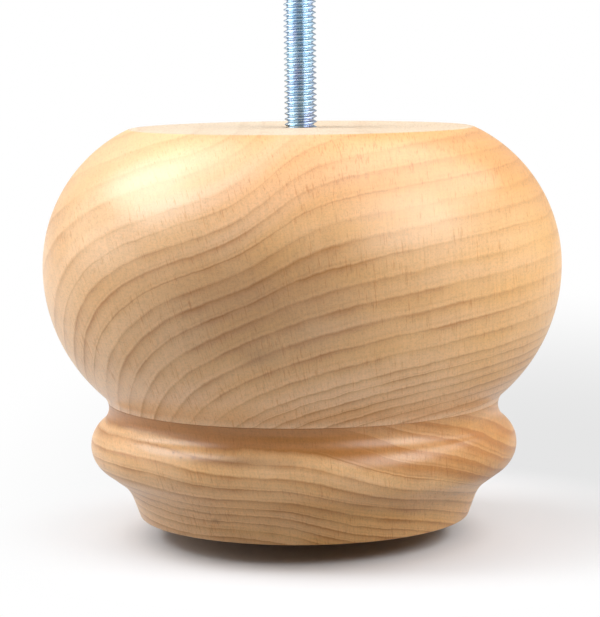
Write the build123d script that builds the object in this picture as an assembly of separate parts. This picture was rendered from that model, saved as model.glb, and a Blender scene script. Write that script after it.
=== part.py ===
from build123d import *
import math
import os

# A turned wooden furniture foot: a flattened ball over a bead and a flared base, cut from two
# boards glued face to face, with a hanger bolt in its top and a nailed glide under it.
# Millimetres, +Z up. The origin is on the floor, on the axis that the wood was turned about.

# The turned outline. Heights are measured up from the underside of the wood.
wood_height = 114.3
ball_diameter = 152.4
ball_middle_height = 73.9
ball_lower_round = 49.5
top_diameter = 100.8
top_edge_round = 2.5
neck_round = 5.9
bead_diameter = 126.1
bead_middle_height = 21.3
bead_round = 8.4
bead_exit_angle = 53.5
cove_round = 12.0
base_diameter = 97.6
base_flare_angle = 20.5
base_edge_chamfer = 0.6

# The blank: the lower board is this thick, and the upper board is the rest of the height.
lower_board_thickness = 34.4

# The hanger bolt: a 3/8 in machine thread above the wood, a plain shank and a wood thread in it.
# Both threads are plain here, the machine one at its crests and the wood one at its root.
machine_thread_diameter = 9.525
machine_thread_standing = 38.1
machine_thread_chamfer = 1.1
shank_diameter = 8.3
shank_length = 5.0
wood_thread_root_diameter = 6.7
wood_thread_length = 32.1
wood_thread_point_length = 9.0
wood_thread_tip_diameter = 1.2

# The drilled hole: a countersunk mouth, so that the wood doesn't lift round the bolt, the shank's
# bore, which the shank fills, and the pilot that the wood thread cuts into.
mouth_clearance = 0.1
mouth_angle = 90.0
pilot_clearance = 0.2
pilot_spare_depth = 3.0
drill_point_angle = 118.0

# The glide: a moulded disc that keeps the wood off the floor, held by a nail sunk in its recess.
glide_diameter = 19.05
glide_height = 6.35
glide_edge_chamfer = 1.0
nail_shank_diameter = 2.3
nail_length = 19.0
nail_point_length = 3.0
nail_head_diameter = 5.6
nail_head_thickness = 1.1
nail_head_sunk = 1.2
nail_recess_clearance = 0.4
nail_hole_clearance = 0.1

# Heights above the floor that follow from the sizes above.
wood_bottom = glide_height
glue_plane = wood_bottom + lower_board_thickness
wood_top = wood_bottom + wood_height
shank_end = wood_top - shank_length
wood_thread_tip = shank_end - wood_thread_length
nail_seat = nail_head_sunk + nail_head_thickness


def meeting_of_circles(centre_a, radius_a, centre_b, radius_b):
    """Where two circles cross, on the side further from the axis: a point of the outline's plane."""
    across = centre_b[0] - centre_a[0]
    down = centre_a[1] - centre_b[1]
    apart = math.hypot(across, down)
    along = (apart**2 + radius_a**2 - radius_b**2) / (2 * apart)
    aside = math.sqrt(radius_a**2 - along**2)
    return (
        centre_a[0] + (along * across + aside * down) / apart,
        centre_a[1] + (aside * across - along * down) / apart,
    )


def angle_from(centre, point):
    """The direction from a centre to a point, in degrees above the outward radius."""
    return math.degrees(math.atan2(point[1] - centre[1], point[0] - centre[0]))


def turned_outline():
    """Half the section of the turned wood, as radius and height, made of arcs that run on tangent.

    From the floor up: the flared base, the cove, the bead, the neck and the two arcs of the ball.
    """
    ball_radius = ball_diameter / 2
    top_radius = top_diameter / 2
    base_radius = base_diameter / 2
    middle = wood_bottom + ball_middle_height
    rise = wood_top - middle
    drop = ball_radius - top_radius
    upper_round = (drop**2 + rise**2) / (2 * drop)
    upper_centre = (ball_radius - upper_round, middle)
    lower_centre = (ball_radius - ball_lower_round, middle)
    bead_centre = (bead_diameter / 2 - bead_round, wood_bottom + bead_middle_height)
    neck_centre = meeting_of_circles(
        lower_centre, ball_lower_round + neck_round, bead_centre, bead_round + neck_round
    )
    top_angle = angle_from(upper_centre, (top_radius, wood_top))
    neck_from_ball = angle_from(lower_centre, neck_centre)
    neck_from_bead = angle_from(bead_centre, neck_centre)

    # The line that leaves the bead and the line of the base meet at a corner, which the cove rounds.
    leave = math.radians(bead_exit_angle)
    flare = math.radians(base_flare_angle)
    bead_end = (
        bead_centre[0] + bead_round * math.cos(leave),
        bead_centre[1] - bead_round * math.sin(leave),
    )
    rise_to_corner = (
        (bead_end[0] - base_radius) * math.cos(leave) - (bead_end[1] - wood_bottom) * math.sin(leave)
    ) / math.sin(flare - leave)
    tangent_length = cove_round * math.tan((leave - flare) / 2)
    cove_start = (
        base_radius + (rise_to_corner - tangent_length) * math.sin(flare),
        wood_bottom + (rise_to_corner - tangent_length) * math.cos(flare),
    )
    cove_centre = (
        cove_start[0] + cove_round * math.cos(flare),
        cove_start[1] - cove_round * math.sin(flare),
    )
    cove_end = (
        cove_centre[0] - cove_round * math.cos(leave),
        cove_centre[1] + cove_round * math.sin(leave),
    )

    with BuildSketch(Plane.XZ) as section:
        with BuildLine():
            Line((0, wood_bottom), (base_radius, wood_bottom))
            Line((base_radius, wood_bottom), cove_start)
            CenterArc(cove_centre, cove_round, 180 - base_flare_angle, base_flare_angle - bead_exit_angle)
            Line(cove_end, bead_end)
            CenterArc(bead_centre, bead_round, -bead_exit_angle, neck_from_bead + bead_exit_angle)
            CenterArc(neck_centre, neck_round, 180 + neck_from_bead, neck_from_ball - neck_from_bead)
            CenterArc(lower_centre, ball_lower_round, neck_from_ball, -neck_from_ball)
            CenterArc(upper_centre, upper_round, 0, top_angle)
            Line((top_radius, wood_top), (0, wood_top))
            Line((0, wood_top), (0, wood_bottom))
        make_face()
    return section.sketch


def turned_blank():
    """The whole wooden form as it leaves the lathe, with its top and bottom edges eased."""
    blank = revolve(turned_outline(), axis=Axis.Z)
    rims = blank.edges().filter_by(GeomType.CIRCLE).sort_by(Axis.Z)
    blank = fillet(rims[-1], top_edge_round)
    rims = blank.edges().filter_by(GeomType.CIRCLE).sort_by(Axis.Z)
    return chamfer(rims[0], base_edge_chamfer)


def turned_solid(points):
    """A solid of revolution about the upright axis, from a closed outline of radius and height."""
    with BuildSketch(Plane.XZ) as section:
        with BuildLine():
            Polyline(*points, close=True)
        make_face()
    return revolve(section.sketch, axis=Axis.Z)


def pilot_hole():
    """The hole for the hanger bolt: its mouth, the shank's bore and the pilot with its drill point."""
    mouth = machine_thread_diameter / 2 + mouth_clearance
    bore = shank_diameter / 2
    mouth_depth = (mouth - bore) / math.tan(math.radians(mouth_angle / 2))
    pilot = wood_thread_root_diameter / 2 + pilot_clearance
    pilot_bottom = wood_thread_tip - pilot_spare_depth
    point_depth = pilot / math.tan(math.radians(drill_point_angle / 2))
    return turned_solid(
        [
            (0, wood_top),
            (mouth, wood_top),
            (bore, wood_top - mouth_depth),
            (bore, shank_end),
            (pilot, shank_end),
            (pilot, pilot_bottom),
            (0, pilot_bottom - point_depth),
        ]
    )


def upper_block():
    """The ball and the top of the neck, from the thick upper board, drilled for the bolt."""
    ball = split(turned_blank(), bisect_by=Plane.XY.offset(glue_plane), keep=Keep.TOP)
    return ball - pilot_hole()


def lower_block():
    """The bead, cove and base, from the lower board, with the hole that the glide's nail makes."""
    foot = split(turned_blank(), bisect_by=Plane.XY.offset(glue_plane), keep=Keep.BOTTOM)
    return foot - glide_nail()


def hanger_bolt():
    """The steel stud: its machine thread starts at the wood, and the rest is screwed into it."""
    crest = machine_thread_diameter / 2
    shank = shank_diameter / 2
    root = wood_thread_root_diameter / 2
    stud_end = wood_top + machine_thread_standing
    return turned_solid(
        [
            (0, stud_end),
            (crest - machine_thread_chamfer, stud_end),
            (crest, stud_end - machine_thread_chamfer),
            (crest, wood_top),
            (shank, wood_top),
            (shank, shank_end),
            (root, shank_end),
            (root, wood_thread_tip + wood_thread_point_length),
            (wood_thread_tip_diameter / 2, wood_thread_tip),
            (0, wood_thread_tip),
        ]
    )


def floor_glide():
    """The moulded disc under the wood, with a stepped hole that sinks the nail's head."""
    disc = Pos(0, 0, glide_height / 2) * Cylinder(glide_diameter / 2, glide_height)
    floor_edge = disc.edges().filter_by(GeomType.CIRCLE).sort_by(Axis.Z)[0]
    disc = chamfer(floor_edge, glide_edge_chamfer)
    recess = Pos(0, 0, nail_seat / 2) * Cylinder(
        nail_head_diameter / 2 + nail_recess_clearance, nail_seat
    )
    hole = Pos(0, 0, glide_height / 2) * Cylinder(
        nail_shank_diameter / 2 + nail_hole_clearance, glide_height
    )
    return disc - recess - hole


def glide_nail():
    """The steel nail, head down in the glide's recess and its point up in the lower block."""
    shank = nail_shank_diameter / 2
    head = nail_head_diameter / 2
    return turned_solid(
        [
            (0, nail_head_sunk),
            (head, nail_head_sunk),
            (head, nail_seat),
            (shank, nail_seat),
            (shank, nail_seat + nail_length - nail_point_length),
            (0, nail_seat + nail_length),
        ]
    )


os.makedirs("parts", exist_ok=True)
for make_piece in (upper_block, lower_block, hanger_bolt, floor_glide, glide_nail):
    export_step(make_piece(), f"parts/{make_piece.__name__}.step")
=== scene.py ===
import math

import bpy
import numpy as np
from mathutils import Matrix, Vector


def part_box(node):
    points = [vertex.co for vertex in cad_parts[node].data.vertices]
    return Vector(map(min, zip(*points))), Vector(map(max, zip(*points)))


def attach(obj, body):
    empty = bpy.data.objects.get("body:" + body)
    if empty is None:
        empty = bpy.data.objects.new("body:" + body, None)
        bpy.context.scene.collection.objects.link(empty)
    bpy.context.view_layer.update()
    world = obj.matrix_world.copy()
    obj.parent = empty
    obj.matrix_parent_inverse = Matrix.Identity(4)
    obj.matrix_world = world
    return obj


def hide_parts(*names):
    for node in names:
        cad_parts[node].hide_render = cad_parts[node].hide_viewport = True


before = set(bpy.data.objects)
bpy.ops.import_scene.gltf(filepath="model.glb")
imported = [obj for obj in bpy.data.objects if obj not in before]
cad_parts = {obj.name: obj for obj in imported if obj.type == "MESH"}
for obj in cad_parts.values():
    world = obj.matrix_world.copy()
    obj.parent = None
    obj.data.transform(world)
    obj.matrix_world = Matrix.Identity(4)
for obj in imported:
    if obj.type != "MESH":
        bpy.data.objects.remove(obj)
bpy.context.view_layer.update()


# The upper board: a flattened ball and the top of the neck, turned from a thick maple board whose
# fibres run front to back, so the front shows end grain. It is sanded and has a clear satin lacquer.
# The hanger bolt's hole is drilled in its top, and its underside is glued to the lower board.
mm = 0.001
upper_low, upper_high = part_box("upper_block")
lower_low, lower_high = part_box("lower_block")
glue_plane, wood_top, ball_radius = upper_low.z, upper_high.z, upper_high.x
wood_bottom, bead_radius = lower_low.z, lower_high.x
ball_middle_height, ball_lower_round = 73.9 * mm, 49.5 * mm
top_radius, top_edge_round, top_flat_radius = 50.4 * mm, 2.5 * mm, 46.0 * mm
bead_middle_height, bead_round = 21.3 * mm, 8.4 * mm
neck_round, glue_groove = 5.9 * mm, 0.16 * mm
mouth_radius, bore_radius, bore_depth = 4.8625 * mm, 4.15 * mm, 5.0 * mm
pilot_radius, pilot_bottom, pilot_point = 3.55 * mm, 80.55 * mm, 2.13 * mm
turns = 288
glue_steps, neck_steps, ball_steps, edge_steps, top_steps = 5, 24, 70, 12, 10
wood_crease = math.radians(32)


def arc(centre, radius, start, end, steps):
    """Points on a circle: the centre plus the radius times (cosine, sine) of evenly spaced angles."""
    angle = np.linspace(start, end, steps)
    return np.array(centre) + radius * np.column_stack([np.cos(angle), np.sin(angle)])


def circles_meet(centre_a, radius_a, centre_b, radius_b):
    """Where two circles cross on the outer side: along the line of centres, then square to it."""
    across, down = centre_b[0] - centre_a[0], centre_a[1] - centre_b[1]
    apart = math.hypot(across, down)
    along = (apart**2 + radius_a**2 - radius_b**2) / (2 * apart)
    aside = math.sqrt(radius_a**2 - along**2)
    outward = centre_a[0] + (along * across + aside * down) / apart
    return outward, centre_a[1] + (aside * across - along * down) / apart


def direction(centre, point):
    """The angle of the line from a centre to a point, above the outward radius."""
    return math.atan2(point[1] - centre[1], point[0] - centre[0])


def rounded(corner, before, after, radius, steps):
    """The arc that rounds a corner, tangent to both sides: a circle set back along the bisector."""
    corner, before, after = np.array(corner), np.array(before), np.array(after)
    into = (corner - before) / np.linalg.norm(corner - before)
    out = (after - corner) / np.linalg.norm(after - corner)
    turn = math.atan2(into[0] * out[1] - into[1] * out[0], into @ out)
    side = np.array([-into[1], into[0]]) * math.copysign(1, turn)
    centre = corner - into * radius * math.tan(abs(turn) / 2) + side * radius
    start = math.atan2(-side[1], -side[0])
    return arc(centre, radius, start, start + turn, steps)


def surface(name, points, quads, triangles):
    """A smooth-shaded mesh object from whole arrays of corners, four-sided and three-sided faces."""
    mesh = bpy.data.meshes.new(name)
    mesh.vertices.add(len(points))
    mesh.vertices.foreach_set("co", np.asarray(points, np.float32).ravel())
    corners = np.concatenate([quads.ravel(), triangles.ravel()])
    mesh.loops.add(len(corners))
    mesh.loops.foreach_set("vertex_index", corners.astype(np.int32))
    sizes = np.concatenate([np.full(len(quads), 4), np.full(len(triangles), 3)])
    mesh.polygons.add(len(sizes))
    mesh.polygons.foreach_set("loop_start", (np.cumsum(sizes) - sizes).astype(np.int32))
    mesh.update(calc_edges=True)
    mesh.shade_smooth()
    piece = bpy.data.objects.new(name, mesh)
    bpy.context.scene.collection.objects.link(piece)
    return piece


def round_angles(count):
    """One turn round the axis in even steps: the step's number over the count, times two pi."""
    return np.arange(count) * 2 * math.pi / count


def carried_round(name, radius, height, poles):
    """A closed surface round the upright axis, from grids of radius and height with a ring a row.

    A point is the radius times (cosine, sine) of its angle, at its height. Each face joins a point
    to the next one round and to the ring above, and a fan closes each end at its pole.
    """
    rings, count = radius.shape
    angle, step = round_angles(count), np.arange(count)
    points = np.stack([radius * np.cos(angle), radius * np.sin(angle), height], -1).reshape(-1, 3)
    points = np.concatenate([points, [[0, 0, pole] for pole in poles]])
    row, column = np.meshgrid(np.arange(rings - 1), step, indexing="ij")
    here, beside = row * count + column, row * count + (column + 1) % count
    quads = np.stack([here, beside, beside + count, here + count], -1).reshape(-1, 4)
    following, last_ring, pole = (step + 1) % count, (rings - 1) * count, rings * count
    start = np.stack([np.full(count, pole), following, step], -1)
    end = np.stack([np.full(count, pole + 1), last_ring + step, last_ring + following], -1)
    return surface(name, points, quads, np.concatenate([start, end]))


def revolved(name, profile):
    """A closed surface of revolution: each profile point (radius, height) carried round the axis.

    The first and last points lie on the axis and become the two poles.
    """
    radius, height = (np.repeat(profile[1:-1, part, None], turns, 1) for part in (0, 1))
    return carried_round(name, radius, height, (profile[0, 1], profile[-1, 1]))


middle = wood_bottom + ball_middle_height
rise, drop = wood_top - middle, ball_radius - top_radius
ball_upper_round = (drop**2 + rise**2) / (2 * drop)
upper_centre = (ball_radius - ball_upper_round, middle)
lower_centre = (ball_radius - ball_lower_round, middle)
bead_centre = (bead_radius - bead_round, wood_bottom + bead_middle_height)
neck_centre = circles_meet(
    lower_centre, ball_lower_round + neck_round, bead_centre, bead_round + neck_round
)
neck_to_ball = direction(neck_centre, lower_centre)
neck_at_glue = math.pi - math.asin((glue_plane - neck_centre[1]) / neck_round)
groove_turn = glue_groove / neck_round
glue_edge = np.array([neck_centre[0] + neck_round * math.cos(neck_at_glue), glue_plane])
neck_run = np.array([math.sin(neck_at_glue), -math.cos(neck_at_glue)]) * neck_round
ball_end = direction(upper_centre, (top_radius, wood_top)) - top_edge_round / ball_upper_round
# A point just outside the top edge and a little below it, which gives the edge its outer slope.
outside_edge = (top_radius + drop / 8, wood_top - rise / 24)
top_run = np.linspace(top_flat_radius, mouth_radius, top_steps)
upper_profile = np.concatenate([
    [[0, glue_plane]],
    rounded(glue_edge, (0, glue_plane), glue_edge + neck_run, glue_groove, glue_steps),
    arc(neck_centre, neck_round, neck_at_glue - groove_turn, neck_to_ball, neck_steps),
    arc(lower_centre, ball_lower_round, neck_to_ball - math.pi, 0, ball_steps)[1:],
    arc(upper_centre, ball_upper_round, 0, ball_end, ball_steps)[1:],
    rounded((top_radius, wood_top), outside_edge, (0, wood_top), top_edge_round, edge_steps)[1:],
    np.column_stack([top_run, np.full_like(top_run, wood_top)]),
    [[bore_radius, wood_top - mouth_radius + bore_radius], [bore_radius, wood_top - bore_depth]],
    [[pilot_radius, wood_top - bore_depth], [pilot_radius, pilot_bottom]],
    [[0, pilot_bottom - pilot_point]],
])
upper = revolved("turned_ball", upper_profile)
upper.data.set_sharp_from_angle(angle=wood_crease)


class Number:
    """A shader value that takes part in sums: each operator adds its Math node to the material."""

    def __init__(self, finish, socket):
        self.finish, self.socket = finish, socket

    def math(self, operation, *values, clamp=False):
        """The value put through a Math node of this operation, with any further values."""
        settings = {"operation": operation, "use_clamp": clamp}
        inputs = dict(enumerate([self, *values]))
        return self.finish.node("ShaderNodeMath", settings, inputs).number()

    def __add__(self, other):
        return self.math("ADD", other)

    def __sub__(self, other):
        return self.math("SUBTRACT", other)

    def __mul__(self, other):
        return self.math("MULTIPLY", other)

    def __truediv__(self, other):
        return self.math("DIVIDE", other)

    def __rsub__(self, other):
        return self.math("MULTIPLY_ADD", -1, other)

    __radd__, __rmul__ = __add__, __mul__

    def clamped(self):
        """The value held between 0 and 1."""
        return self.math("ADD", 0, clamp=True)


class Made:
    """A node that was just added, with its outputs at hand as numbers or as plain sockets."""

    def __init__(self, finish, node):
        self.finish, self.outputs = finish, node.outputs

    def number(self, name=0):
        return Number(self.finish, self.outputs[name])

    def out(self, name=0):
        return self.outputs[name]


class Finish:
    """A tree of shader nodes, for a material or the room: one method adds every kind of node."""

    def __init__(self, owner):
        self.owner = owner
        self.owner.use_nodes = True
        self.tree = owner.node_tree
        self.tree.nodes.clear()

    def node(self, kind, settings=None, inputs=None):
        """Adds a node of a kind, gives it its settings first, and then its values or links."""
        made = self.tree.nodes.new(kind)
        for name, value in (settings or {}).items():
            setattr(made, name, value)
        for name, value in (inputs or {}).items():
            value = value.socket if isinstance(value, Number) else value
            if isinstance(value, bpy.types.NodeSocket):
                self.tree.links.new(value, made.inputs[name])
            else:
                made.inputs[name].default_value = value
        return Made(self, made)

    def shade(self, **inputs):
        """Ends the material in a Principled shader with these inputs."""
        named = {name.replace("_", " "): value for name, value in inputs.items()}
        shader = self.node("ShaderNodeBsdfPrincipled", None, named)
        self.node("ShaderNodeOutputMaterial", None, {"Surface": shader.out("BSDF")})
        return self.owner


def place_in_mm(finish):
    """The point's own place on the object in millimetres, as three numbers."""
    coordinates = finish.node("ShaderNodeTexCoord").out("Object")
    inputs = {0: coordinates, "Scale": 1 / mm}
    scaled = finish.node("ShaderNodeVectorMath", {"operation": "SCALE"}, inputs).out()
    parts = finish.node("ShaderNodeSeparateXYZ", None, {0: scaled})
    return [parts.number(axis) for axis in "XYZ"]


def noise(finish, place, size, detail=2.0, roughness=0.5):
    """Smooth noise from -0.5 to 0.5 at a place, each part of which is divided by its grain size."""
    x, y, z = (part / length for part, length in zip(place, size))
    point = finish.node("ShaderNodeCombineXYZ", None, {"X": x, "Y": y, "Z": z}).out()
    inputs = {"Vector": point, "Scale": 1.0, "Detail": detail, "Roughness": roughness}
    return finish.node("ShaderNodeTexNoise", {"noise_dimensions": "3D"}, inputs).number("Fac") - 0.5


def smooth_step(finish, value, start, end, low=0.0, high=1.0):
    """A smooth rise from a low to a high number, while the value goes from its start to its end."""
    inputs = {"Value": value, "From Min": start, "From Max": end, "To Min": low, "To Max": high}
    return finish.node("ShaderNodeMapRange", {"interpolation_type": "SMOOTHSTEP"}, inputs).number("Result")


def bell(value, middle, width):
    """A bell curve: e to the power of minus the square of the distance from the middle in widths."""
    return (((value - middle) / width).math("POWER", 2.0) * -1.0).math("EXPONENT")


def blend(finish, amount, first, second, mode="MIX"):
    """One colour laid over another by an amount from 0 to 1."""
    settings = {"data_type": "RGBA", "blend_type": mode}
    first = (*first, 1) if isinstance(first, tuple) else first
    second = (*second, 1) if isinstance(second, tuple) else second
    inputs = {0: amount, 6: first, 7: second}
    return finish.node("ShaderNodeMix", settings, inputs).out(2)


def grey(finish, value):
    """A colour whose three parts are all the one value."""
    return finish.node("ShaderNodeCombineColor", None, {0: value, 1: value, 2: value}).out()


# Heights and places in the wood's finish are in millimetres, as the material reads them. Grain
# sizes are given across, along the fibres and up, or along the level of the rings.
rings_height = 80.0
upper_pitch = 4.3
maple_pale, maple_warm, bare_maple = (0.84, 0.555, 0.325), (0.78, 0.44, 0.155), (0.50, 0.43, 0.34)
ring_tint, ray_tint, pore_tint = (0.58, 0.42, 0.26), (0.72, 0.50, 0.30), (0.80, 0.68, 0.54)
# The first two tints paint shade: on the middle of the ball and on its shoulder.
centre_shade_tint, shoulder_shade_tint, mark_tint = (0.70, 0.64, 0.58), (0.91, 0.83, 0.82), (0.50, 0.44, 0.38)
sway_size, waver_size, cloud_size = (16.0, 60.0, 16.0), (3.6, 25.0, 3.6), (30.0, 70.0, 30.0)
ring_patch_size, ray_patch_size = (15.0, 40.0, 9.0), (20.0, 30.0, 14.0)
tick_size, thread_size, pore_size = (0.36, 3.0, 3.8), (0.55, 5.0, 16.0), (0.55, 6.0, 0.55)
band_size, streak_size, lathe_size = (6.0, 120.0, 50.0), (13.0, 60.0, 0.8), (40.0, 40.0, 0.35)


def upper_rings(x, z):
    """The height, in mm, at which the growth ring through a point crosses the reference line.

    The rings lean, drop away in a bend towards the left, and climb a kink near the middle that
    fades out downwards. The result is the point's height less the height of that curve.
    """
    slant, lean, bend_length, bend_start = 0.73, 0.089, 31.0, 33.0
    kink_height, kink_place, kink_width, kink_fade_height, kink_fade = 7.9, -10.1, 11.9, 89.3, 22.5
    along = x + (z - rings_height) * slant
    kink_share = ((z - kink_fade_height) / kink_fade).math("TANH") * 0.5 + 0.5
    kink = ((x - kink_place) / kink_width).math("TANH") * kink_share * kink_height
    bend = ((bend_start - along) / bend_length).math("EXPONENT")
    return z - along * lean - kink + bend


def upper_ring_count(level):
    """The number of rings above a level: a steady pitch, a wide ring near the top, tight ones below."""
    tight_pitch, tight_below, first_ring = 2.4, 59.0, 113.9
    wide_at, wide_reach, wide_by = 118.0, 3.0, 0.8
    tighter = (tight_below - level).math("MAXIMUM", 0.0) * (1 / tight_pitch - 1 / upper_pitch)
    wider = (((level - wide_at) / wide_reach).math("TANH") + 1.0) * (wide_by / 2)
    return (first_ring - level) / upper_pitch + tighter + wider


def ring_lines(finish, place, count, pitch):
    """How dark the late wood is at a point, from its share of the way down through its ring.

    A line is darkest at its ring's upper edge, and below it falls off as the mean of a short and a
    long exponential. Each ring has its own strength by chance, and some have a second, thin line.
    """
    edge_length, fade_length, dark_again = 0.8, 2.1, 0.84
    by_chance, by_patch, plain, least = 0.60, 2.0, 0.46, 0.12
    thin_place, thin_spread, thin_sharpness, thin_by_chance, thin_by_patch = 0.5, 0.3, 8.0, 0.22, 0.5
    share, ring = count.math("FRACT"), count.math("FLOOR")
    chance = finish.node("ShaderNodeTexWhiteNoise", {"noise_dimensions": "1D"}, {"W": ring})
    strength = chance.number("Value")
    patches = noise(finish, place, ring_patch_size, detail=3.0)
    edge = (share * (-pitch / edge_length)).math("EXPONENT")
    fade = (share * (-pitch / fade_length)).math("EXPONENT")
    line = (edge * 0.5 + fade * 0.5).math("MAXIMUM", smooth_step(finish, share, dark_again, 1.0))
    line = line * (strength * by_chance + patches * by_patch + plain).math("MAXIMUM", least)
    from_thin = ((share - thin_place - strength * thin_spread) * thin_sharpness).math("ABSOLUTE")
    thin = 1 - smooth_step(finish, from_thin, 0.0, 1.0)
    return line + thin * (strength * thin_by_chance + patches * thin_by_patch).math("MAXIMUM", 0.0)


def rays(finish, place, level):
    """The rays, as dark ticks from 0 to 1 and as fine threads about 0: noise stretched across the rings.

    They lean by a slope that falls off towards the right. The ticks are what stands above a
    threshold, in patches, with fewer at the upper left and more at the upper right.
    """
    x, y, z = place
    lean_reach, lean_change, lean_middle = 30.0, -0.14, 0.17
    patch_weight, tick_from, tick_to = 0.30, 0.09, 0.28
    high_from, high_to, left, right, left_change, right_change = 96.0, 116.0, -60.0, 10.0, -0.06, 0.04
    lean = (x / lean_reach).math("TANH") * lean_change + lean_middle
    across = x + lean * (z - rings_height)
    patches = noise(finish, place, ray_patch_size) * patch_weight
    high = smooth_step(finish, z, high_from, high_to)
    high = high * smooth_step(finish, x, left, right, left_change, right_change)
    ticks = noise(finish, (across, y, level), tick_size, detail=1.0) + patches + high
    threads = noise(finish, (across, y, level), thread_size)
    return smooth_step(finish, ticks, tick_from, tick_to), threads


def warmth_share(finish, place, level, warmth):
    """How warm the ground colour is, from 0 to 1: clouds and bands, and warmer up and to the right."""
    x, y, z = place
    cloud_weight, band_weight, plain, slope = 1.1, 0.8, 0.12, 0.0025
    # Paler low on the ball: partly the wood's own pale tone, partly painted light.
    ball_from, ball_to, ball_share = 44.0, 62.0, 0.30
    top_from, top_to, top_left, top_right, top_share = 92.0, 116.0, -5.0, 40.0, 0.45
    edge_from, edge_to, edge_share = 30.0, 64.0, 0.25
    cloud = noise(finish, place, cloud_size, detail=3.0)
    band = noise(finish, (level, y, x), band_size, detail=1.0)
    top = smooth_step(finish, z, top_from, top_to) * smooth_step(finish, x, top_left, top_right)
    upward = smooth_step(finish, z, ball_from, ball_to) * ball_share + top * top_share
    rightward = x * slope + smooth_step(finish, x, edge_from, edge_to) * edge_share
    return (cloud * cloud_weight + band * band_weight + rightward + upward + plain + warmth).clamped()


def mark(finish, place, across, up, half_width, half_height):
    """A soft spot on the viewer's side of the wood: one bell curve across times another one up."""
    x, y, z = place
    front_from, front_to = -8.0, -16.0
    spot = bell(x, across, half_width) * bell(z, up, half_height)
    return spot * smooth_step(finish, y, front_from, front_to)


def maple(name, rings, ring_count, pitch, ring_weight, warmth, streak_weight, marks, band=None):
    """Lacquered maple cut from solid wood, its rings a function of the place across the fibres.

    The rings' pitch is in mm, and their weight says how dark they are. Warmth moves the whole board
    from pale to warm, and the streaks run along its rings, light and dark. A mark is given by its
    place across and up, half width, half height and strength. A band, where there is one, is a
    function of the place across and the level, which darkens the wood there with a dark ring and
    painted shade.
    """
    sway_reach, waver_reach = 1.2, 0.8
    bare_from, bare_to, bare_share, bare_rings = 120.45, 120.60, 0.85, 0.3
    faint_slope, faint_from, faint_to, faint_share = 0.5, 80.0, 112.0, 0.55
    # Where the painted shade in the middle of the ball lies, and how strong it is.
    centre_shade_up, centre_shade_height, centre_shade_across, centre_shade_width, centre_shade_share = 79.0, 17.0, -12.0, 32.0, 0.95
    ray_share, pore_from, pore_to, pore_share = 0.52, 0.02, 0.30, 0.6
    # Where the painted shade on the ball's shoulder lies.
    shoulder_shade_from, shoulder_shade_to, shoulder_shade_left, shoulder_shade_right = 90.0, 112.0, -38.0, -14.0
    pore_light, thread_light, lathe_light = 0.70, 0.22, 0.10
    lathe_bump, pore_bump, ring_bump, bump_strength, bump_depth = 1.4, 0.5, 0.3, 0.5, 0.00002
    satin, lathe_dulling, pore_dulling, bare_dulling = 0.33, 0.12, 0.08, 0.3

    finish = Finish(bpy.data.materials.new(name))
    place = x, y, z = place_in_mm(finish)
    sway = noise(finish, place, sway_size) * sway_reach
    waver = noise(finish, place, waver_size, detail=3.0, roughness=0.7) * waver_reach
    level = rings(x, z) + sway + waver
    late = ring_lines(finish, place, ring_count(level), pitch)
    ticks, threads = rays(finish, place, level)
    pores = noise(finish, place, pore_size, detail=3.0, roughness=0.75)
    lathe = noise(finish, place, lathe_size)
    streaks = noise(finish, (x, y, level), streak_size)

    # The flat top is bare wood, greyer and duller than the lacquered sides.
    bare = smooth_step(finish, z, bare_from, bare_to)
    colour = blend(finish, warmth_share(finish, place, level, warmth), maple_pale, maple_warm)
    colour = blend(finish, bare * bare_share, colour, bare_maple)

    # The rings are fainter towards the upper right, and on the bare top.
    fainter = 1 - smooth_step(finish, level + x * faint_slope, faint_from, faint_to) * faint_share
    dark = late * (fainter * (1 - bare * bare_rings)) * ring_weight
    if band:
        dark = dark + band(finish, x, level)
    colour = blend(finish, dark.clamped(), colour, ring_tint, "MULTIPLY")

    # Painted shade: the middle of the ball is a little greyer, and so is its shoulder at the right.
    centre_shade = bell(z, centre_shade_up, centre_shade_height) * bell(x, centre_shade_across, centre_shade_width)
    colour = blend(finish, centre_shade * centre_shade_share, colour, centre_shade_tint, "MULTIPLY")
    colour = blend(finish, ticks * ray_share, colour, ray_tint, "MULTIPLY")
    open_pores = smooth_step(finish, pores, pore_from, pore_to) * pore_share
    colour = blend(finish, open_pores, colour, pore_tint, "MULTIPLY")
    shoulder_shade = smooth_step(finish, z, shoulder_shade_from, shoulder_shade_to)
    shoulder_shade = shoulder_shade * smooth_step(finish, x, shoulder_shade_left, shoulder_shade_right) * (1 - bare)
    colour = blend(finish, shoulder_shade, colour, shoulder_shade_tint, "MULTIPLY")
    for across, up, half_width, half_height, strength in marks:
        spot = mark(finish, place, across, up, half_width, half_height)
        colour = blend(finish, spot * strength, colour, mark_tint, "MULTIPLY")
    light = pores * pore_light + threads * thread_light + lathe * lathe_light
    light = light + streaks * streak_weight + 1.0
    colour = blend(finish, 1.0, colour, grey(finish, light), "MULTIPLY")

    height = lathe * lathe_bump + pores * pore_bump - late * ring_bump
    bump = {"Strength": bump_strength, "Distance": bump_depth, "Height": height}
    normal = finish.node("ShaderNodeBump", None, bump).out()
    roughness = lathe * lathe_dulling + pores * pore_dulling + bare * bare_dulling + satin
    return finish.shade(Base_Color=colour, Roughness=roughness, Normal=normal)


# A faint smudge in the middle of the ball.
upper_marks = [(-11.3, 62.6, 5.5, 2.6, 0.40)]
upper.data.materials.append(maple(
    "maple_upper_board", upper_rings, upper_ring_count, upper_pitch, ring_weight=0.80, warmth=0.0,
    streak_weight=0.08, marks=upper_marks,
))
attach(upper, "root")
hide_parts("upper_block")


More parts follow.
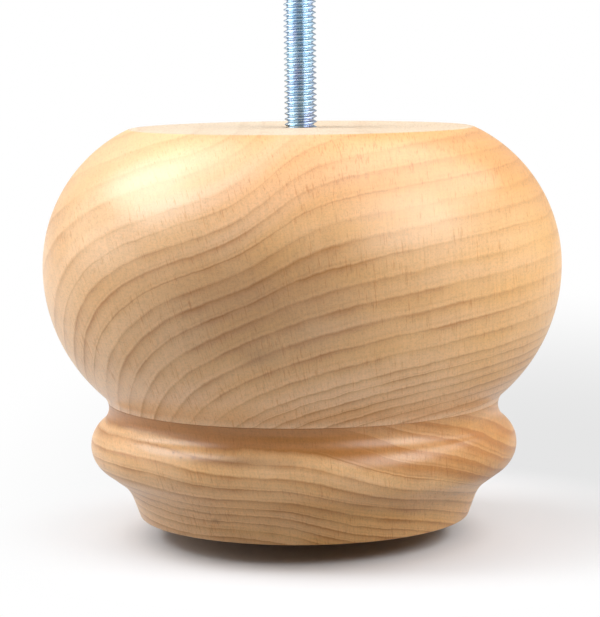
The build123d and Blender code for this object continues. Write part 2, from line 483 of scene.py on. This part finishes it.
# The lower board: the bead, the cove and the flared base, turned in one go with the upper board
# from a second maple board glued under it. Its rings run another way, which shows at the glue
# line, and the glide's nail has made a hole in its underside.
bead_exit_angle, base_flare_angle = math.radians(53.5), math.radians(20.5)
cove_round, base_radius, base_edge_round = 12.0 * mm, 48.8 * mm, 0.6 * mm
nail_point, nail_shoulder, nail_radius = 21.3 * mm, 18.3 * mm, 1.15 * mm
foot_steps, cove_steps, bead_steps = 8, 24, 60
bead_end = (
    bead_centre[0] + bead_round * math.cos(bead_exit_angle),
    bead_centre[1] - bead_round * math.sin(bead_exit_angle),
)
bead_out, bead_up = bead_end[0] - base_radius, bead_end[1] - wood_bottom
rise_to_corner = (
    bead_out * math.cos(bead_exit_angle) - bead_up * math.sin(bead_exit_angle)
) / math.sin(base_flare_angle - bead_exit_angle)
cove_corner = (
    base_radius + rise_to_corner * math.sin(base_flare_angle),
    wood_bottom + rise_to_corner * math.cos(base_flare_angle),
)
neck_to_bead = direction(neck_centre, bead_centre)
neck_from, neck_to = 2 * math.pi + neck_to_bead, neck_at_glue + groove_turn
lower_profile = np.concatenate([
    [[0, nail_point], [nail_radius, nail_shoulder], [nail_radius, wood_bottom]],
    rounded((base_radius, wood_bottom), (0, wood_bottom), cove_corner, base_edge_round, foot_steps),
    rounded(cove_corner, (base_radius, wood_bottom), bead_end, cove_round, cove_steps),
    arc(bead_centre, bead_round, -bead_exit_angle, neck_to_bead + math.pi, bead_steps),
    arc(neck_centre, neck_round, neck_from, neck_to, neck_steps)[1:],
    rounded(glue_edge, glue_edge - neck_run, (0, glue_plane), glue_groove, glue_steps),
    [[0, glue_plane]],
])
lower = revolved("turned_base", lower_profile)
lower.data.set_sharp_from_angle(angle=wood_crease)


def lower_rings(x, z):
    """The height, in mm, at which the ring through a point crosses the axis of the foot.

    The rings fall gently to the right, with a long shallow wave and a low arch.
    """
    fall, arch, twist = -0.161, -0.00236, -0.0000125
    wave, wave_length, wave_place, wave_shift, wave_height = 0.76, 47.3, 32.4, 0.48, 24.0
    phase = (x - wave_place - (z - wave_height) * wave_shift) * (2 * math.pi / wave_length)
    bent = x * x * arch + x * x * x * twist
    return z - x * fall - phase.math("SINE") * wave - bent


def lower_ring_count(level):
    """The number of rings above a level: wide ones under the neck, tighter towards the floor."""
    pitch, tight_pitch, tight_below, first_ring = 3.85, 2.5, 16.5, 49.3
    tighter = (tight_below - level).math("MAXIMUM", 0.0) * (1 / tight_pitch - 1 / pitch)
    return (first_ring - level) / pitch + tighter


def neck_ring_and_shade(finish, x, level):
    """The broad dark band just under the glue line, a ring with painted shade: all above a leaning level,
    weaker at the right.
    """
    lean, start, rise = 0.03, 32.5, 2.5
    right, left, right_share = 30.0, 2.0, 0.45
    band = smooth_step(finish, level - x * lean, start, start + rise)
    return band * smooth_step(finish, x, right, left, right_share, 1.0)


# A grey band along the front of the bead, three pits in it, and a speck in the base.
lower_marks = [
    (-17.0, 32.0, 15.0, 1.6, 0.80),
    (-36.2, 33.0, 0.4, 0.35, 0.9),
    (-34.0, 32.0, 0.5, 0.30, 0.8),
    (-30.6, 32.2, 0.6, 0.30, 0.8),
    (-25.0, 12.8, 1.0, 0.70, 0.6),
]
# The band under the glue line is a dark ring with painted shade under the ball's overhang.
lower.data.materials.append(maple(
    "maple_lower_board", lower_rings, lower_ring_count, pitch=3.6, ring_weight=1.0, warmth=0.46,
    streak_weight=0.30, marks=lower_marks, band=neck_ring_and_shade,
))
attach(lower, "root")
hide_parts("lower_block")


# The hanger bolt: a steel stud with bright blue-white zinc plating. Its 3/8-16 machine thread
# stands out of the wood, and its coarse wood thread is screwed into the pilot hole below.
stud_low, stud_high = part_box("hanger_bolt")
crest_radius, stud_end, stud_tip = stud_high.x, stud_high.z, stud_low.z
inch = 25.4 * mm
thread_pitch, lag_pitch = inch / 16, inch / 7
thread_depth, end_chamfer = 0.61 * thread_pitch, 1.1 * mm
thread_crest, thread_root, lag_crest, lag_root = 0.16, 0.20, 0.06, 0.55
thread_easing = 0.14
lag_root_radius, lag_tip_radius, lag_height = 3.35 * mm, 0.6 * mm, 1.15 * mm
lag_point_length, lag_start_length = 9.0 * mm, 4.0 * mm
shank_end, thread_start, row_gap = wood_top - bore_depth, wood_top - 0.35 * mm, 0.01 * mm
stud_turns, thread_rows, lag_rows = 72, 816, 200
stud_crease = math.radians(42)


def eased(value, reach):
    """The value where it is above zero and 0 below, with a parabola for the corner in between."""
    return np.where(value > reach, value, np.maximum(value + reach, 0) ** 2 / (4 * reach))


def screw_thread(angle, height, pitch, flat_crest, flat_root):
    """How far up its thread a point is, from 0 at the root to 1 at the crest, on a right-hand helix.

    The turn is the height in pitches less the angle in whole turns. Its distance from the crest
    runs down the flank in a straight line between a flat crest and a flat root, both eased.
    """
    turn = height / pitch - angle / (2 * math.pi)
    from_crest = np.abs(turn - np.round(turn)) * 2
    flank = (1 - flat_root - from_crest) / (1 - flat_root - flat_crest)
    return 1 - eased(1 - eased(flank, thread_easing), thread_easing)


def stud_radius(angle, height):
    """The stud's radius at an angle and height: machine thread, shank, wood thread and point.

    The machine thread rises from its root to its crest and is cut off by the end's chamfer. The
    wood thread stands on a core that tapers to the tip, and fades out at both of its ends.
    """
    machine = screw_thread(angle, height, thread_pitch, thread_crest, thread_root)
    machine = crest_radius - thread_depth + thread_depth * machine
    machine = np.minimum(machine, crest_radius - end_chamfer + (stud_end - height))
    core = np.clip((height - stud_tip) / lag_point_length, 0, 1)
    core = lag_tip_radius + (lag_root_radius - lag_tip_radius) * core
    below_shank = np.clip((shank_end - height) / lag_pitch, 0, 1)
    above_tip = np.clip((height - stud_tip) / lag_start_length, 0, 1)
    wood = lag_height * (below_shank * above_tip)
    wood = core + wood * screw_thread(angle, height, lag_pitch, lag_crest, lag_root)
    in_the_wood = np.where(height > shank_end, bore_radius, wood)
    return np.where(height > thread_start, machine, in_the_wood)


heights = np.concatenate([
    np.linspace(stud_tip, shank_end, lag_rows),
    [shank_end + row_gap, thread_start - row_gap],
    np.linspace(thread_start + row_gap, stud_end, thread_rows),
])
angle_grid, height_grid = np.meshgrid(round_angles(stud_turns), heights)
radius_grid = stud_radius(angle_grid, height_grid)
stud = carried_round("zinc_hanger_bolt", radius_grid, height_grid, (stud_tip, stud_end))
stud.data.set_sharp_from_angle(angle=stud_crease)


zinc_blue, zinc_pale, zinc_violet = (0.42, 0.58, 0.74), (0.58, 0.72, 0.80), (0.50, 0.46, 0.66)
drift_size, film_size, film_shift = (3.0, 3.0, 9.0), (4.0, 4.0, 12.0), 84.0


def zinc_plating():
    """Bright zinc over rolled steel: a blue passivated film that drifts to pale and to violet."""
    drift_weight, film_weight = 1.8, 2.4
    bright, drift_dulling, film_dulling = 0.19, 0.10, 0.05
    finish = Finish(bpy.data.materials.new("bright_zinc"))
    x, y, z = place_in_mm(finish)
    drift = noise(finish, (x, y, z), drift_size)
    film = noise(finish, (x, y, z + film_shift), film_size)
    colour = blend(finish, (drift * drift_weight + 0.5).clamped(), zinc_blue, zinc_pale)
    colour = blend(finish, (film * film_weight).clamped(), colour, zinc_violet)
    roughness = drift * drift_dulling + film * film_dulling + bright
    return finish.shade(Base_Color=colour, Metallic=1.0, Roughness=roughness)


stud.data.materials.append(zinc_plating())
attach(stud, "root")
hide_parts("hanger_bolt")


# The floor glide: a small moulded disc of brown nylon that keeps the wood clear of the floor, with
# a stepped hole that sinks the head of its nail. The solid's own mesh shows it.
nylon_dark, nylon_light, nylon_grain = (0.15, 0.095, 0.06), (0.22, 0.145, 0.09), (0.3, 0.3, 0.3)


def moulded_nylon():
    """Matte brown nylon with the fine grain of its mould."""
    matte, grain_dulling, bump_strength, bump_depth = 0.55, 0.1, 0.3, 0.00003
    finish = Finish(bpy.data.materials.new("brown_nylon"))
    grain = noise(finish, place_in_mm(finish), nylon_grain)
    colour = blend(finish, (grain + 0.5).clamped(), nylon_dark, nylon_light)
    bump = {"Strength": bump_strength, "Distance": bump_depth, "Height": grain}
    normal = finish.node("ShaderNodeBump", None, bump).out()
    return finish.shade(Base_Color=colour, Roughness=grain * grain_dulling + matte, Normal=normal)


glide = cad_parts["floor_glide"]
glide.data.materials.clear()
glide.data.materials.append(moulded_nylon())


# The glide's nail: a plain steel wire nail, its flat head sunk in the glide and its point in the
# lower board. The solid's own mesh shows it too.
wire_dark, wire_light, wire_grain = (0.46, 0.46, 0.46), (0.60, 0.60, 0.59), (0.15, 0.15, 4.0)


def nail_wire():
    """Drawn steel wire, a little dull, with fine lengthwise die marks."""
    drawn, mark_dulling = 0.36, 0.2
    finish = Finish(bpy.data.materials.new("nail_wire"))
    die_marks = noise(finish, place_in_mm(finish), wire_grain)
    colour = blend(finish, (die_marks + 0.5).clamped(), wire_dark, wire_light)
    return finish.shade(Base_Color=colour, Metallic=1.0, Roughness=die_marks * mark_dulling + drawn)


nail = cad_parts["glide_nail"]
nail.data.materials.clear()
nail.data.materials.append(nail_wire())


# The floor: a white sheet that the foot stands on, wide enough to fill the view from any side. It
# looks white to the camera and in the gloss, and throws only a little light back on the foot.
floor_reach = 3.0
# The paper's colours: as seen, in the painted shadow behind the foot, and as bounced light.
floor_seen, floor_in_painted_shadow, floor_bounce = (0.74, 0.74, 0.76), (0.67, 0.67, 0.68), (0.42, 0.42, 0.42)
shadow_centre, white_from, white_to = (0.014, 0.006, 0), 0.050, 0.115
# A painted shadow on the paper at the right behind the foot: its place, size and strength.
painted_shadow_across, painted_shadow_behind, painted_shadow_share, painted_shadow_squash = 0.10, 0.10, 0.21, 0.16
painted_shadow_from, painted_shadow_to, painted_shadow_front, painted_shadow_back = 0.02, 0.24, -0.09, 0.05


def seen_directly(finish):
    """1 for what the camera sees, on its own, in a gloss or through glass, and 0 for bounced light."""
    path = finish.node("ShaderNodeLightPath")
    camera, glossy = path.number("Is Camera Ray"), path.number("Is Glossy Ray")
    return camera.math("MAXIMUM", glossy).math("MAXIMUM", path.number("Is Transmission Ray"))


def white_sheet():
    """Matte white paper that takes the foot's shadow, with a painted shadow at the right behind the foot.

    Round the foot the paper is lit by the lamps. Further off it turns to plain white, less the
    share that the painted shadow takes away.
    """
    finish = Finish(bpy.data.materials.new("white_sheet"))
    seen = seen_directly(finish)
    coordinates = finish.node("ShaderNodeTexCoord").out("Object")
    parts = finish.node("ShaderNodeSeparateXYZ", None, {0: coordinates})
    x, y = parts.number("X"), parts.number("Y")
    # The painted shadow: a squashed round patch at the right behind the foot.
    to_right, to_back = x - painted_shadow_across, y - painted_shadow_behind
    reach = (to_right * to_right + to_back * to_back * painted_shadow_squash).math("SQRT")
    painted_shadow = 1 - smooth_step(finish, reach, painted_shadow_from, painted_shadow_to)
    painted_shadow = painted_shadow * smooth_step(finish, y, painted_shadow_front, painted_shadow_back)
    colour = blend(finish, seen, floor_bounce, blend(finish, painted_shadow, floor_seen, floor_in_painted_shadow))
    paper = finish.node("ShaderNodeBsdfDiffuse", None, {"Color": colour}).out()
    white = {"Color": grey(finish, 1 - painted_shadow * painted_shadow_share), "Strength": 1.0}
    bright = finish.node("ShaderNodeEmission", None, white).out()
    inputs = {0: coordinates, 1: shadow_centre}
    away = finish.node("ShaderNodeVectorMath", {"operation": "DISTANCE"}, inputs).number("Value")
    far = smooth_step(finish, away, white_from, white_to) * seen
    sheet = finish.node("ShaderNodeMixShader", None, {0: far, 1: paper, 2: bright}).out()
    finish.node("ShaderNodeOutputMaterial", None, {"Surface": sheet})
    return finish.owner


floor_mesh = bpy.data.meshes.new("floor")
floor_corners = [
    (floor_reach * across, floor_reach * back, 0) for across, back in [(-1, -1), (1, -1), (1, 1), (-1, 1)]
]
floor_mesh.from_pydata(floor_corners, [], [(0, 1, 2, 3)])
floor = bpy.data.objects.new("floor", floor_mesh)
bpy.context.scene.collection.objects.link(floor)
floor.data.materials.append(white_sheet())


# The room: white walls all round, but for the dark end that the picture is taken from, which the
# stud and the lacquer mirror. Its own light is weak, so that the soft lamps give the shape.
room_fill, room_dark_end, room_side_share = 0.08, 0.05, 0.5
dark_end_from, dark_end_to, side_from, side_to = -0.96, -0.76, -0.50, -0.05


def white_room():
    """White to the camera and in the gloss, dark towards the viewer's end, and dim as a light."""
    finish = Finish(bpy.data.worlds.new("white_room"))
    way = finish.node("ShaderNodeTexCoord").out("Generated")
    back = finish.node("ShaderNodeSeparateXYZ", None, {0: way}).number("Y")
    mirrored = smooth_step(finish, back, dark_end_from, dark_end_to, room_dark_end, 1.0)
    mirrored = mirrored * smooth_step(finish, back, side_from, side_to, 1.0, room_side_share)
    path = finish.node("ShaderNodeLightPath")
    camera = path.number("Is Camera Ray").math("MAXIMUM", path.number("Is Transmission Ray"))
    white = (camera + path.number("Is Glossy Ray") * mirrored).math("MAXIMUM", room_fill)
    inputs = {"Color": grey(finish, white), "Strength": 1.0}
    light = finish.node("ShaderNodeBackground", None, inputs).out()
    finish.node("ShaderNodeOutputWorld", None, {"Surface": light})
    return finish.owner


bpy.context.scene.world = white_room()


# The lamps: two large soft boxes, high at the left and at the right of the foot, each brighter in
# its middle, a panel over it, a little to the back, and two dim panels low at its sides.
lamp_aim = Vector((0, 0, 0.08))


def soft_lamp(name, bearing, height, distance, width, tall, power):
    """A rectangular lamp that looks at the foot from a bearing and a height.

    The bearing is counted from the viewer's side, both angles are in degrees, the distance and the
    size are in metres, and the power is in watts.
    """
    lamp = bpy.data.lights.new(name, "AREA")
    lamp.shape, lamp.size, lamp.size_y, lamp.energy = "RECTANGLE", width, tall, power
    holder = bpy.data.objects.new(name, lamp)
    bpy.context.scene.collection.objects.link(holder)
    bearing, height = math.radians(bearing), math.radians(height)
    level = math.cos(height)
    way = Vector((math.sin(bearing) * level, -math.cos(bearing) * level, math.sin(height)))
    holder.location = lamp_aim + way * distance
    holder.rotation_euler = (-way).to_track_quat("-Z", "Y").to_euler()


soft_lamp("left_box", -100, 54, 1.0, 0.80, 0.80, 8.9)
soft_lamp("left_core", -90, 42, 0.9, 0.66, 0.44, 3.3)
soft_lamp("right_box", 96, 55, 1.0, 1.00, 0.85, 8.6)
soft_lamp("right_core", 54, 36, 0.9, 0.66, 0.46, 5.0)
soft_lamp("overhead", 180, 78, 1.1, 1.10, 0.70, 0.8)
soft_lamp("left_low", -96, 12, 1.0, 1.00, 0.36, 2.1)
soft_lamp("right_low", 100, 12, 1.0, 1.00, 0.36, 0.6)


# The camera: 0.7 m in front of the foot, a little higher than the top of the wood and tipped down
# a little, which gives the photograph's view.
image_height = 617
focal_pixels = 2378.5
sensor_size = 36.0
camera_place = (-0.75 * mm, -698.9 * mm, 148.13 * mm)
camera_pitch = 0.1154
camera_roll = math.radians(-0.569)
camera = bpy.data.objects.new("camera", bpy.data.cameras.new("camera"))
bpy.context.scene.collection.objects.link(camera)
camera.data.sensor_width = sensor_size
camera.data.lens = sensor_size * focal_pixels / image_height
camera.location = camera_place
camera.rotation_mode = "XYZ"
tilted = Matrix.Rotation(math.pi / 2 - camera_pitch, 3, "X")
camera.rotation_euler = (tilted @ Matrix.Rotation(camera_roll, 3, "Z")).to_euler("XYZ")
bpy.context.scene.camera = camera
bpy.context.scene.view_settings.view_transform = "Standard"
